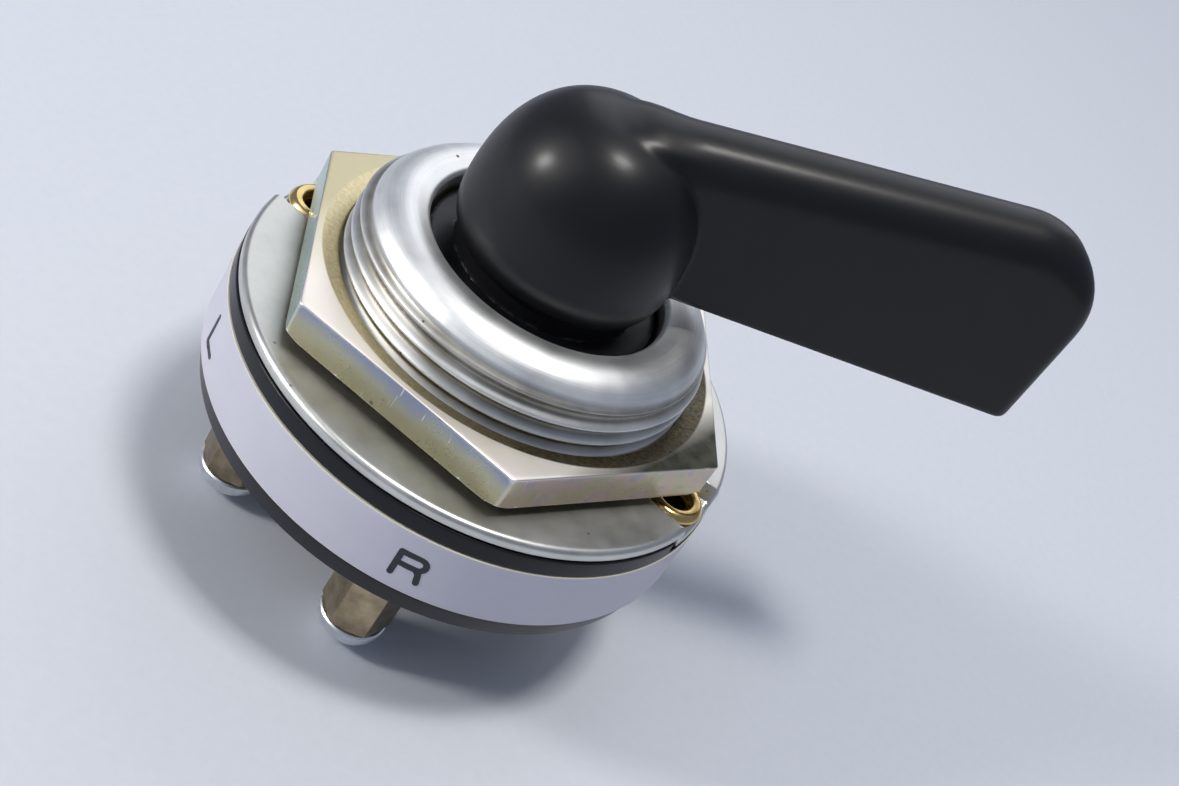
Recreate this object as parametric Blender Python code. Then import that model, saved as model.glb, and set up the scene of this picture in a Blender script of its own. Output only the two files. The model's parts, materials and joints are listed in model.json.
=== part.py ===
"""Panel-mounted rotary lever switch: three positions, a black lever in a threaded bush.

Frame: +Z runs up the spindle towards the lever, the origin is the centre of the moulding's
flat rear face, and the lever points along +X in the position modelled. Sizes are in mm here.
"""

import math

import bmesh
import bpy
from mathutils import Matrix, Vector

MM = 0.001
GAP = 0.3                       # clearance left wherever two pieces meet

# Driving sizes, mm.
BODY_R = 22.3                   # moulding, outside
BODY_TOP = 9.5
PLATE_R = 22.25
PLATE_THICK = 1.1
PLATE_Z = BODY_TOP + GAP        # underside of the cover plate
PLATE_TOP = PLATE_Z + PLATE_THICK
FLOOR_Z = 3.0                   # inside floor of the moulding
CAVITY_R = 19.4
SEAT_IN = 18.4                  # the plate's top is relieved inside this radius, so a panel seats on its rim
SEAT_RELIEF = 0.15

BAND_LOW = 2.2                  # printed band round the moulding
BAND_HIGH = 8.0
BAND_IN = 22.15
BAND_OUT = 22.5

BUSH_R = 15.2                   # thread root; the nut's bore is GAP wider
BUSH_BORE = 10.5
BUSH_FLANGE_R = 15.9
BUSH_LIP_Z = 20.4               # edge of the mouth
BUSH_CREST_Z = 20.95

NUT_FLATS = 35.9
NUT_LOW = PLATE_TOP + 0.9
NUT_HIGH = 15.2
NUT_TURN = -33.7                # azimuth of one corner, degrees

TERMINAL_R = 15.8               # terminal axes lie on this circle
TERMINALS = {"left": -169.5, "right": -105.0, "feed": 40.0}
PILLAR_FLATS = 5.4
PILLAR_LOW = -8.4
SPIGOT_R = 1.6
SPIGOT_HEAD_R = 2.4
LUG_R = 2.7                     # round end of a fixed contact, over its terminal
SCREW_HEAD_R = 2.95
SCREW_HEAD_H = 2.3

EYELET_R = 19.4                 # eyelet axes lie on this circle
EYELETS = {"eyelet_front": -33.4, "eyelet_rear": 146.6}
RIVET_HOLE_R = 1.9              # clearance holes for the eyelets and the terminals' spigots
PAD_DROP = 1.5                  # the plate is pressed down this far round each eyelet
PAD_HALF = 3.3
PAD_IN = 16.5                   # the pad's inner edge
PAD_WALL = 0.3

HUB_BASE_Z = 20.8
HUB_R = 9.35
HUB_WIDE_Z = 23.8               # the hub is widest here, and rounds in above it
HUB_RISE = 11.4                 # from there to the crown
HUB_FULLNESS = 2.4              # exponent of the hub's profile: 2 is an ellipse
JOURNAL_R = 10.15
JOURNAL_LOW = 15.3
JOURNAL_TOP = 20.0

BLADE_REACH = 42.35             # from the axis to the lever's end
BLADE_LOW_AT_AXIS = 23.05       # the lower edge rises a little towards the end
BLADE_LOW = 23.7
BLADE_TOP_AT_AXIS = 35.8
BLADE_SLOPE = math.radians(9.15)
BLADE_START_X = 1.2             # from here towards the axis the top rounds down into the hub
BLADE_START_R = 4.5
BLADE_HALF_AT_HUB = 3.62        # half the thickness
BLADE_HALF_AT_TIP = 3.26
TIP_CORNER_TOP = 7.8
TIP_CORNER_LOW = 1.6

SPINDLE_R = 3.0
SPINDLE_LOW = 8.9
SPINDLE_HIGH = 33.0
GRUB_Z = 27.0
ROTOR_R = 15.0
ROTOR_LOW = 6.0
ROTOR_DISC_TOP = 7.9
NECK_R = 8.3
NECK_TOP = 14.6
BALL_Z = 11.7
BALL_R = 1.5
BALL_ORBIT = 7.2
DETENT_IN = 9.0
DETENT_LOW = 9.3
DETENT_HIGH = 14.1
THROW = 45.0                    # degrees from one position of the lever to the next

CONTACT_LOW = FLOOR_Z + GAP
CONTACT_HIGH = 3.8
WIPER_LOW = CONTACT_HIGH + GAP
WIPER_HIGH = 4.7
ARM_AZIMUTH = 180.0             # the contact arm points away from the lever
ARM_REACH = 13.2
ARM_HALF = 2.5

SMOOTH_BELOW = math.radians(35)


def clear_scene():
    for obj in list(bpy.data.objects):
        bpy.data.objects.remove(obj, do_unlink=True)


def material(name, colour, roughness, metallic):
    made = bpy.data.materials.new(name)
    made.use_nodes = True
    shader = made.node_tree.nodes["Principled BSDF"]
    shader.inputs["Base Color"].default_value = (*colour, 1.0)
    shader.inputs["Roughness"].default_value = roughness
    shader.inputs["Metallic"].default_value = metallic
    return made


# Meshes. Every shape function takes mm and returns an object whose mesh is in metres.

def object_from(name, mesh_data, finish):
    """An object made from a bmesh whose points are in mm."""
    bmesh.ops.recalc_face_normals(mesh_data, faces=mesh_data.faces[:])
    bmesh.ops.transform(mesh_data, matrix=Matrix.Scale(MM, 4), verts=mesh_data.verts[:])
    mesh = bpy.data.meshes.new(name)
    mesh_data.to_mesh(mesh)
    mesh_data.free()
    mesh.shade_smooth()
    mesh.set_sharp_from_angle(angle=SMOOTH_BELOW)
    obj = bpy.data.objects.new(name, mesh)
    bpy.context.scene.collection.objects.link(obj)
    if finish:
        mesh.materials.append(finish)
    return obj


def lathe(name, outline, finish=None, steps=48):
    """Turns a closed outline of (radius, height) about Z. Points at radius 0 become poles."""
    made = bmesh.new()
    turns = [math.tau * k / steps for k in range(steps)]
    rings = []
    for radius, height in outline:
        if radius == 0:
            rings.append([made.verts.new((0, 0, height))] * steps)
        else:
            rings.append([made.verts.new((radius * math.cos(a), radius * math.sin(a), height)) for a in turns])
    for first, second in zip(rings, rings[1:] + rings[:1]):
        for k in range(steps):
            after = (k + 1) % steps
            corners = [first[k], first[after], second[after], second[k]]
            corners = [v for n, v in enumerate(corners) if v not in corners[:n]]
            if len(corners) > 2:
                made.faces.new(corners)
    return object_from(name, made, finish)


def prism(name, outline, low, high, finish=None):
    """Extrudes a closed outline of (x, y) from one height to another."""
    made = bmesh.new()
    bottom = [made.verts.new((x, y, low)) for x, y in outline]
    top = [made.verts.new((x, y, high)) for x, y in outline]
    made.faces.new(bottom)
    made.faces.new(top)
    for k in range(len(outline)):
        after = (k + 1) % len(outline)
        made.faces.new((bottom[k], bottom[after], top[after], top[k]))
    return object_from(name, made, finish)


def polar_plate(name, azimuths, inner, outer, low, high, finish=None, closed=False):
    """A flat plate whose inner and outer radius are functions of the azimuth, in degrees."""
    made = bmesh.new()
    columns = []
    for azimuth in azimuths:
        turn = math.radians(azimuth)
        corners = ((inner(azimuth), low), (outer(azimuth), low), (outer(azimuth), high), (inner(azimuth), high))
        columns.append([made.verts.new((r * math.cos(turn), r * math.sin(turn), z)) for r, z in corners])
    pairs = list(zip(columns, columns[1:] + columns[:1]))
    for first, second in pairs if closed else pairs[:-1]:
        for k in range(4):
            made.faces.new((first[k], first[(k + 1) % 4], second[(k + 1) % 4], second[k]))
    if not closed:
        made.faces.new(columns[0])
        made.faces.new(columns[-1])
    return object_from(name, made, finish)


def wavy_ring(name, inner, outer, middle, rise, thick, waves, finish):
    """A spring washer: a thin ring that rises and falls round its circle."""
    made = bmesh.new()
    columns = []
    steps = 12 * waves
    for k in range(steps):
        turn = math.tau * k / steps
        height = middle + rise * math.cos(waves * turn)
        corners = ((inner, -thick / 2), (outer, -thick / 2), (outer, thick / 2), (inner, thick / 2))
        columns.append([made.verts.new((r * math.cos(turn), r * math.sin(turn), height + z)) for r, z in corners])
    for first, second in zip(columns, columns[1:] + columns[:1]):
        for k in range(4):
            made.faces.new((first[k], first[(k + 1) % 4], second[(k + 1) % 4], second[k]))
    return object_from(name, made, finish)


def hexagon(flats, turn=0.0):
    radius = flats / math.sqrt(3)
    angles = [math.radians(turn + 60 * k) for k in range(6)]
    return [(radius * math.cos(a), radius * math.sin(a)) for a in angles]


def at_azimuth(radius, azimuth):
    turn = math.radians(azimuth)
    return radius * math.cos(turn), radius * math.sin(turn)


def place(obj, x=0.0, y=0.0, z=0.0, turn=0.0):
    """Moves an object to a point in mm and turns it about Z by degrees."""
    obj.location = (x * MM, y * MM, z * MM)
    obj.rotation_euler = (0, 0, math.radians(turn))
    return obj


def lay_along(obj, azimuth, height):
    """Lays an object that was made along Z so that its own Z points outwards at this azimuth."""
    obj.rotation_euler = (0, math.radians(90), math.radians(azimuth))
    obj.location = (0, 0, height * MM)
    return obj


def combine(obj, other, operation):
    """A Boolean with a helper object, which is hidden. Operation: UNION, DIFFERENCE or INTERSECT."""
    other.hide_render = True
    other.display_type = "WIRE"
    step = obj.modifiers.new(f"{operation} {other.name}", "BOOLEAN")
    step.operation = operation
    step.solver = "EXACT"
    step.object = other
    return obj


def drum(name, radius, low, high, steps=24):
    """A plain cylinder, used as a helper."""
    return lathe(name, [(0, low), (radius, low), (radius, high), (0, high)], steps=steps)


def block(name, x_range, y_range, low, high):
    (x0, x1), (y0, y1) = x_range, y_range
    return prism(name, [(x0, y0), (x1, y0), (x1, y1), (x0, y1)], low, high)


# The fixed pieces.

def make_base_moulding(finish):
    outline = [
        (0, 0), (BODY_R - 0.55, 0), (BODY_R - 0.35, 0.2), (BODY_R, BAND_LOW - 0.2), (BAND_IN - GAP, BAND_LOW - 0.2),
        (BAND_IN - GAP, BAND_HIGH + 0.2), (BODY_R, BAND_HIGH + 0.2), (BODY_R, BODY_TOP - 0.2),
        (BODY_R - 0.2, BODY_TOP), (CAVITY_R, BODY_TOP), (CAVITY_R, FLOOR_Z), (0, FLOOR_Z),
    ]
    body = lathe("base_moulding", outline, finish, steps=64)
    for name, azimuth in EYELETS.items():
        x, y = at_azimuth(EYELET_R, azimuth)
        boss_top = PLATE_Z - PAD_DROP - GAP
        combine(body, place(drum(f"boss {name}", 2.4, FLOOR_Z - 1.0, boss_top - 0.1), x, y), "UNION")
        pocket = block(f"pocket {name}", (15.0, 24.0), (-4.4, 4.4), boss_top, BODY_TOP + 2.0)
        combine(body, place(pocket, turn=azimuth), "DIFFERENCE")
        combine(body, place(drum(f"eyelet hole {name}", RIVET_HOLE_R, -1.0, BODY_TOP), x, y), "DIFFERENCE")
    for name, azimuth in TERMINALS.items():
        x, y = at_azimuth(TERMINAL_R, azimuth)
        combine(body, place(drum(f"terminal hole {name}", RIVET_HOLE_R, -1.0, FLOOR_Z + 1.0), x, y), "DIFFERENCE")
    return body


def make_label_band(finish):
    outline = [(BAND_IN, BAND_LOW), (BAND_OUT, BAND_LOW), (BAND_OUT, BAND_HIGH), (BAND_IN, BAND_HIGH)]
    return lathe("label_band", outline, finish, steps=64)


def make_cover_plate(finish):
    hole = BUSH_R + GAP
    outline = [
        (hole, PLATE_Z), (PLATE_R - 0.1, PLATE_Z), (PLATE_R, PLATE_Z + 0.2), (PLATE_R, PLATE_TOP - 0.55),
        (PLATE_R - 0.16, PLATE_TOP - 0.17), (PLATE_R - 0.55, PLATE_TOP), (SEAT_IN, PLATE_TOP),
        (SEAT_IN - 0.2, PLATE_TOP - SEAT_RELIEF), (hole, PLATE_TOP - SEAT_RELIEF),
    ]
    plate = lathe("cover_plate", outline, finish, steps=64)
    half = PAD_HALF + 0.8
    for name, azimuth in EYELETS.items():
        tray = block(f"tray {name}", (PAD_IN - PAD_WALL, 21.6), (-half, half), PLATE_Z - PAD_DROP, PLATE_TOP - 0.3)
        combine(plate, place(tray, turn=azimuth), "UNION")
        well = block(f"well {name}", (PAD_IN, 25.0), (-PAD_HALF, PAD_HALF), PLATE_TOP - PAD_DROP, PLATE_TOP + 1.0)
        combine(plate, place(well, turn=azimuth), "DIFFERENCE")
        x, y = at_azimuth(EYELET_R, azimuth)
        combine(plate, place(drum(f"plate hole {name}", RIVET_HOLE_R, 5.0, 12.0), x, y), "DIFFERENCE")
    return plate


def make_threaded_bush(finish):
    outline = [
        (BUSH_BORE, PLATE_Z - 0.8), (BUSH_FLANGE_R, PLATE_Z - 0.8), (BUSH_FLANGE_R, PLATE_Z - GAP),
        (BUSH_R, PLATE_Z - GAP), (BUSH_R, BUSH_CREST_Z - 3.0), (15.6, BUSH_CREST_Z - 2.6),
        (15.2, BUSH_CREST_Z - 2.0), (14.7, BUSH_CREST_Z - 1.35), (13.9, BUSH_CREST_Z - 0.65),
        (12.9, BUSH_CREST_Z - 0.15), (11.9, BUSH_CREST_Z), (10.9, BUSH_CREST_Z - 0.2), (BUSH_BORE, BUSH_LIP_Z),
    ]
    return lathe("threaded_bush", outline, finish, steps=64)


def make_panel_nut(finish):
    nut = prism("panel_nut", hexagon(NUT_FLATS, NUT_TURN), NUT_LOW, NUT_HIGH, finish)
    corner = NUT_FLATS / math.sqrt(3)
    chamfered = [
        (BUSH_R + GAP, NUT_LOW - 0.001), (corner - 0.4, NUT_LOW - 0.001), (corner + 0.5, NUT_LOW + 0.5),
        (corner + 0.5, NUT_HIGH - 0.4), (corner - 0.2, NUT_HIGH + 0.001), (17.3, NUT_HIGH + 0.001),
        (BUSH_R + GAP, NUT_HIGH - 1.2),
    ]
    return combine(nut, lathe("nut blank", chamfered, steps=64), "INTERSECT")


def make_detent_ring(finish):
    """A hard ring in the bush. Three pairs of grooves hold the balls, one pair for each position."""
    opening = 9.95

    def inner(azimuth):
        near = min(abs((azimuth - THROW * k + 90) % 180 - 90) for k in range(3))
        return opening - (opening - DETENT_IN) * min(1.0, (near / 11.0) ** 2)

    azimuths = [4.5 * k for k in range(80)]
    return polar_plate("detent_ring", azimuths, inner, lambda azimuth: BUSH_BORE - 0.2,
                       DETENT_LOW, DETENT_HIGH, finish, closed=True)


def make_terminal(name, azimuth, brass, steel):
    x, y = at_azimuth(TERMINAL_R, azimuth)
    pillar = prism(f"terminal_pillar_{name}", hexagon(PILLAR_FLATS, 30.0), PILLAR_LOW, -GAP, brass)
    corner = PILLAR_FLATS / math.sqrt(3)
    blank = [
        (1.5, PILLAR_LOW - 0.001), (corner - 0.45, PILLAR_LOW - 0.001), (corner + 0.2, PILLAR_LOW + 0.35),
        (corner + 0.2, 1.0), (0, 1.0), (0, -1.2), (1.5, -1.2),
    ]
    combine(pillar, place(lathe(f"pillar blank {name}", blank, steps=24)), "INTERSECT")
    spigot = [
        (0, -0.8), (SPIGOT_R, -0.8), (SPIGOT_R, WIPER_LOW), (SPIGOT_HEAD_R, WIPER_LOW),
        (SPIGOT_HEAD_R - 0.1, WIPER_LOW + 0.45), (SPIGOT_R - 0.1, WIPER_LOW + 0.75), (0, WIPER_LOW + 0.75),
    ]
    combine(pillar, lathe(f"spigot {name}", spigot, steps=20), "UNION")
    for helper in list(pillar.modifiers):
        place(helper.object, x, y, turn=azimuth)
    place(pillar, x, y, turn=azimuth)

    head_top = PILLAR_LOW - GAP
    dome = [
        (SCREW_HEAD_R * math.cos(a), head_top - 0.35 - (SCREW_HEAD_H - 0.35) * math.sin(a))
        for a in (math.radians(15 * k) for k in range(6))
    ]
    outline = [(0, -2.2), (1.2, -2.2), (1.2, head_top), (SCREW_HEAD_R, head_top)] + dome
    outline.append((0, head_top - SCREW_HEAD_H))
    screw = lathe(f"terminal_screw_{name}", outline, steel, steps=24)
    slot = block(f"slot {name}", (-4, 4), (-0.4, 0.4), head_top - 4.0, head_top - SCREW_HEAD_H + 0.9)
    place(slot, x, y, turn=azimuth)
    combine(place(screw, x, y, turn=azimuth), slot, "DIFFERENCE")


def lug_reach(offset):
    """Radius of a lug's edge round its terminal, or 0 past its sides. Offset in degrees."""
    turn = math.radians(offset)
    inside = LUG_R ** 2 - (TERMINAL_R * math.sin(turn)) ** 2
    return TERMINAL_R * math.cos(turn) + math.sqrt(inside) if inside >= 0 else 0.0


def make_fixed_contact(name, azimuth, first, last, inner_r, outer_r, finish):
    """A flat arc that the moving contact wipes, with a lug that reaches out to its terminal."""
    side = math.degrees(math.asin(LUG_R / TERMINAL_R)) - 0.01
    azimuths = sorted(
        {first + (last - first) * k / 8 for k in range(9)}
        | {azimuth + side * k / 4 for k in range(-4, 5)}
        | {azimuth - side - 0.05, azimuth + side + 0.05}
    )
    contact = polar_plate(f"fixed_contact_{name}", azimuths, lambda a: inner_r,
                          lambda a: max(outer_r, lug_reach(a - azimuth)), CONTACT_LOW, CONTACT_HIGH, finish)
    x, y = at_azimuth(TERMINAL_R, azimuth)
    return combine(contact, place(drum(f"contact hole {name}", RIVET_HOLE_R, 2.0, 6.0, steps=20), x, y), "DIFFERENCE")


def make_eyelet(name, azimuth, finish):
    pad_top = PLATE_TOP - PAD_DROP
    inner_r, outer_r = 1.1, 1.6
    outline = [
        (inner_r, -0.3), (inner_r + 0.25, -0.75), (1.9, -0.9), (2.4, -0.75), (2.5, -0.45), (2.2, -GAP),
        (outer_r, -GAP), (outer_r, pad_top + GAP), (2.5, pad_top + GAP), (2.7, pad_top + 0.5),
        (2.6, pad_top + 0.85), (2.2, pad_top + 1.05), (1.6, pad_top + 0.9), (inner_r + 0.1, pad_top + 0.5),
        (inner_r, pad_top + 0.1),
    ]
    x, y = at_azimuth(EYELET_R, azimuth)
    return place(lathe(name, outline, finish, steps=24), x, y)


# The moving pieces.

def blade_outline():
    """The lever's side outline as (x, z, edge radius), anticlockwise from the low inner corner."""
    def top_at(x):
        return BLADE_TOP_AT_AXIS + x * math.tan(BLADE_SLOPE)

    def low_at(x):
        return BLADE_LOW_AT_AXIS + (BLADE_LOW - BLADE_LOW_AT_AXIS) * x / (BLADE_REACH - TIP_CORNER_LOW)

    points = [(x, low_at(x), 0.6) for x in (0.0, 12.0, 26.0)]
    low_centre = (BLADE_REACH - TIP_CORNER_LOW, BLADE_LOW + TIP_CORNER_LOW)
    for k in range(5):
        turn = math.radians(-90 + 90 * k / 4)
        edge = 0.6 + 2.0 * k / 4
        points.append((low_centre[0] + TIP_CORNER_LOW * math.cos(turn),
                       low_centre[1] + TIP_CORNER_LOW * math.sin(turn), edge))
    top_x = BLADE_REACH - TIP_CORNER_TOP
    centre_z = top_at(top_x) - TIP_CORNER_TOP / math.cos(BLADE_SLOPE)
    for k in range(7):
        turn = (math.pi / 2 + BLADE_SLOPE) * k / 6
        points.append((top_x + TIP_CORNER_TOP * math.cos(turn), centre_z + TIP_CORNER_TOP * math.sin(turn), 3.2))
    points += [(x, top_at(x), 3.2) for x in (24.0, 12.0, 6.0)]
    start_z = top_at(BLADE_START_X) - BLADE_START_R
    for k in range(4):
        turn = math.radians(90 + 30 * k)
        points.append((BLADE_START_X + BLADE_START_R * math.cos(turn), start_z + BLADE_START_R * math.sin(turn), 3.2))
    points.append((BLADE_START_X - BLADE_START_R, 29.0, 0.6))
    return points


def rounded_slab(name, outline, half_at, finish=None, steps=4):
    """A plate in the XZ plane, each outline point with its own edge radius, rounded on both sides."""
    made = bmesh.new()
    count = len(outline)
    inward = []
    for k in range(count):
        before, after = outline[k - 1], outline[(k + 1) % count]
        along = Vector((after[0] - before[0], after[1] - before[1])).normalized()
        inward.append(Vector((-along.y, along.x)))
    columns = []
    for (x, z, edge), normal in zip(outline, inward):
        column = []
        for side in (-1, 1):
            turns = [math.pi / 2 * k / steps for k in range(steps + 1)]
            for turn in turns[::-1] if side < 0 else turns:
                inset = edge * (1 - math.cos(turn))
                px, pz = x + normal.x * inset, z + normal.y * inset
                column.append(made.verts.new((px, side * (half_at(px) - edge * (1 - math.sin(turn))), pz)))
        columns.append(column)
    for first, second in zip(columns, columns[1:] + columns[:1]):
        for k in range(len(first) - 1):
            made.faces.new((first[k], first[k + 1], second[k + 1], second[k]))
    made.faces.new([column[0] for column in columns])
    made.faces.new([column[-1] for column in columns])
    return object_from(name, made, finish)


def make_lever(finish):
    outline = [
        (0, JOURNAL_LOW), (JOURNAL_R, JOURNAL_LOW), (JOURNAL_R, JOURNAL_TOP), (HUB_R - 0.5, JOURNAL_TOP),
        (HUB_R - 0.5, HUB_BASE_Z), (HUB_R - 0.2, HUB_BASE_Z + 0.6), (HUB_R - 0.05, HUB_BASE_Z + 1.5),
    ]
    dome = []
    for k in range(11):
        turn = math.radians(9 * k)
        radius = HUB_R * max(0.0, math.cos(turn)) ** (2 / HUB_FULLNESS)
        height = HUB_WIDE_Z + HUB_RISE * math.sin(turn) ** (2 / HUB_FULLNESS)
        dome.append((radius if k < 10 else 0, height))
    lever = lathe("lever", outline + dome, finish, steps=48)

    def half_at(x):
        return BLADE_HALF_AT_HUB + (BLADE_HALF_AT_TIP - BLADE_HALF_AT_HUB) * max(0.0, x) / BLADE_REACH

    combine(lever, rounded_slab("blade", blade_outline(), half_at), "UNION")
    combine(lever, drum("spindle socket", SPINDLE_R + GAP, 10.0, SPINDLE_HIGH + GAP), "DIFFERENCE")
    hole = drum("grub hole", 1.8, 1.5, 14.0, steps=20)
    return combine(lever, lay_along(hole, 90, GRUB_Z), "DIFFERENCE")


def make_spindle(finish):
    outline = [
        (1.5, SPINDLE_LOW), (SPINDLE_R, SPINDLE_LOW), (SPINDLE_R, SPINDLE_HIGH - 0.5),
        (SPINDLE_R - 0.5, SPINDLE_HIGH), (0, SPINDLE_HIGH), (0, 16.0), (1.5, 16.0),
    ]
    spindle = lathe("spindle", outline, finish, steps=32)
    flat = block("spindle flat", (-5, 5), (2.5, 6), 23.0, SPINDLE_HIGH + 1)
    return combine(spindle, flat, "DIFFERENCE")


def make_grub_screw(finish):
    outline = [(0, 2.8), (1.0, 2.8), (1.5, 3.3), (1.5, 8.2), (0, 8.2)]
    screw = lay_along(lathe("grub_screw", outline, finish, steps=20), 90, GRUB_Z)
    slot = lay_along(block("grub slot", (-3, 3), (-0.3, 0.3), 7.4, 9.0), 90, GRUB_Z)
    return combine(screw, slot, "DIFFERENCE")


def make_rotor(finish):
    outline = [
        (1.8, ROTOR_LOW), (ROTOR_R, ROTOR_LOW), (ROTOR_R, ROTOR_DISC_TOP), (NECK_R, ROTOR_DISC_TOP),
        (NECK_R, NECK_TOP), (SPINDLE_R + GAP, NECK_TOP), (SPINDLE_R + GAP, SPINDLE_LOW - GAP), (1.8, SPINDLE_LOW - GAP),
    ]
    rotor = lathe("rotor", outline, finish, steps=48)
    for side in (-1, 1):
        near, far = sorted((side * (ARM_HALF + GAP), side * (ARM_HALF + GAP + 1.3)))
        rib = block(f"drive rib {side}", (-12.6, -9.0), (near, far), WIPER_LOW + 0.3, ROTOR_LOW + 0.5)
        combine(rotor, rib, "UNION")
    for side in (0, 180):
        bore = lay_along(drum(f"ball bore {side}", BALL_R + GAP, 4.2, 12.0, steps=20), side, BALL_Z)
        combine(rotor, bore, "DIFFERENCE")
    return rotor


def make_rotor_screw(finish):
    low = WIPER_HIGH + 0.1
    outline = [
        (0, low), (2.2, low), (2.8, low + 0.4), (2.8, ROTOR_LOW - GAP), (1.2, ROTOR_LOW - GAP), (1.2, 14.5), (0, 14.5),
    ]
    return lathe("rotor_screw", outline, finish, steps=24)


def make_moving_contact(finish):
    inner_r, ring_r = 3.9, 7.4

    def outer(azimuth):
        offset = abs((azimuth - ARM_AZIMUTH + 180) % 360 - 180)
        if offset > 30:
            return ring_r
        across = ARM_HALF / math.sin(math.radians(max(offset, 0.1)))
        return max(ring_r, min(ARM_REACH, across))

    azimuths = sorted({10.0 * k for k in range(36)} | {ARM_AZIMUTH + 2.7 * k for k in range(-8, 9)})
    return polar_plate("moving_contact", azimuths, lambda azimuth: inner_r, outer,
                       WIPER_LOW, WIPER_HIGH, finish, closed=True)


def make_detent_spring(azimuth, finish):
    """A coil spring that lies across the spindle's bore on one side of it."""
    coil_r, wire_r, turns, sides = 0.95, 0.17, 2.0, 6
    start, end = 4.5, BALL_ORBIT - BALL_R - 0.1
    made = bmesh.new()
    steps = int(turns * 10)
    rings = []
    for k in range(steps + 1):
        share = k / steps
        turn = math.tau * turns * share
        centre = Vector((coil_r * math.cos(turn), coil_r * math.sin(turn), start + (end - start) * share))
        out = Vector((math.cos(turn), math.sin(turn), 0))
        up = Vector((0, 0, 1))
        angles = [math.tau * n / sides for n in range(sides)]
        rings.append([made.verts.new(centre + wire_r * (math.cos(a) * out + math.sin(a) * up)) for a in angles])
    for first, second in zip(rings, rings[1:]):
        for n in range(sides):
            made.faces.new((first[n], first[(n + 1) % sides], second[(n + 1) % sides], second[n]))
    made.faces.new(rings[0])
    made.faces.new(rings[-1])
    return lay_along(object_from(f"detent_spring_{azimuth}", made, finish), azimuth, BALL_Z)


def make_detent_ball(azimuth, finish):
    made = bmesh.new()
    bmesh.ops.create_icosphere(made, subdivisions=2, radius=BALL_R)
    ball = object_from(f"detent_ball_{azimuth}", made, finish)
    x, y = at_azimuth(BALL_ORBIT, azimuth)
    return place(ball, x, y, BALL_Z)


def main():
    clear_scene()
    phenolic = material("black phenolic", (0.02, 0.02, 0.022), 0.35, 0.0)
    plastic = material("satin black plastic", (0.018, 0.018, 0.02), 0.42, 0.0)
    print_band = material("white band", (0.72, 0.71, 0.78), 0.55, 0.0)
    zinc = material("bright zinc", (0.72, 0.74, 0.74), 0.28, 1.0)
    passivated = material("yellow passivated zinc", (0.72, 0.66, 0.48), 0.3, 1.0)
    brass = material("brass", (0.78, 0.58, 0.25), 0.25, 1.0)
    steel = material("plated steel", (0.7, 0.72, 0.75), 0.2, 1.0)
    spring_steel = material("spring steel", (0.45, 0.45, 0.46), 0.3, 1.0)
    bronze = material("phosphor bronze", (0.72, 0.45, 0.26), 0.32, 1.0)
    fibre = material("grey fibre", (0.28, 0.26, 0.24), 0.8, 0.0)

    make_base_moulding(phenolic)
    make_label_band(print_band)
    make_cover_plate(zinc)
    make_threaded_bush(zinc)
    make_panel_nut(passivated)
    make_detent_ring(spring_steel)
    wavy_ring("friction_washer", 8.7, 10.0, 14.7, 0.12, 0.2, 3, spring_steel)
    washer = [(9.1, 8.2), (14.6, 8.2), (14.6, 8.7), (9.1, 8.7)]
    lathe("fibre_washer", washer, fibre)
    for name, azimuth in TERMINALS.items():
        make_terminal(name, azimuth, brass, steel)
    lug = 12
    first_stop, last_stop = ARM_AZIMUTH - 360, ARM_AZIMUTH - 360 + 2 * THROW
    make_fixed_contact("left", TERMINALS["left"], first_stop - 8, TERMINALS["left"] + lug, 9.5, 13.4, bronze)
    make_fixed_contact("right", TERMINALS["right"], TERMINALS["right"] - lug, last_stop + 8, 9.5, 13.4, bronze)
    make_fixed_contact("feed", TERMINALS["feed"], TERMINALS["feed"] - 28, TERMINALS["feed"] + 28, 4.4, 7.6, bronze)
    for name, azimuth in EYELETS.items():
        make_eyelet(name, azimuth, brass)

    moving = [
        make_lever(plastic),
        make_spindle(steel),
        make_grub_screw(steel),
        make_rotor(phenolic),
        make_rotor_screw(steel),
        make_moving_contact(bronze),
        wavy_ring("contact_spring", 3.9, 7.0, 5.35, 0.2, 0.25, 3, spring_steel),
    ]
    for azimuth in (0, 180):
        moving.append(make_detent_spring(azimuth, spring_steel))
        moving.append(make_detent_ball(azimuth, spring_steel))

    lever_axis = bpy.data.objects.new("lever_axis", None)
    bpy.context.scene.collection.objects.link(lever_axis)
    for obj in moving:
        obj.parent = lever_axis
    for obj in list(bpy.data.objects):
        if obj.hide_render and any(obj in [m.object for m in piece.modifiers] for piece in moving):
            obj.parent = lever_axis


main()
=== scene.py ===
"""Looks for the rotary lever switch: detailed visible pieces, materials, light and camera."""

import json
import math

import bmesh
import bpy
import numpy as np
from mathutils import Matrix, Vector


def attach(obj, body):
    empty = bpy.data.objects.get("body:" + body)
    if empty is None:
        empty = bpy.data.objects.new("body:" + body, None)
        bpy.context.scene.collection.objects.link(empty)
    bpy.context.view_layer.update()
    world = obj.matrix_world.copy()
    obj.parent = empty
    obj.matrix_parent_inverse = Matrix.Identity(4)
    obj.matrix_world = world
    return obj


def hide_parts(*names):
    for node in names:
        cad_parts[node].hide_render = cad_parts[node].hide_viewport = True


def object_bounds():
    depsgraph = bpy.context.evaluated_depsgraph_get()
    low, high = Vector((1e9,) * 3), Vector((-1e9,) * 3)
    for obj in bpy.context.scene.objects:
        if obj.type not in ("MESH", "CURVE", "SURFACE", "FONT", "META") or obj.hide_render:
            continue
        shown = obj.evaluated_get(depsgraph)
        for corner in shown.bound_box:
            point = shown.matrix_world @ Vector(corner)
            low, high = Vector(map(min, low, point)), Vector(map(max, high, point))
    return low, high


MM = 0.001
FINE = 256                      # steps round the large turned pieces
SMALL = 72                      # steps round the small ones

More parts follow.
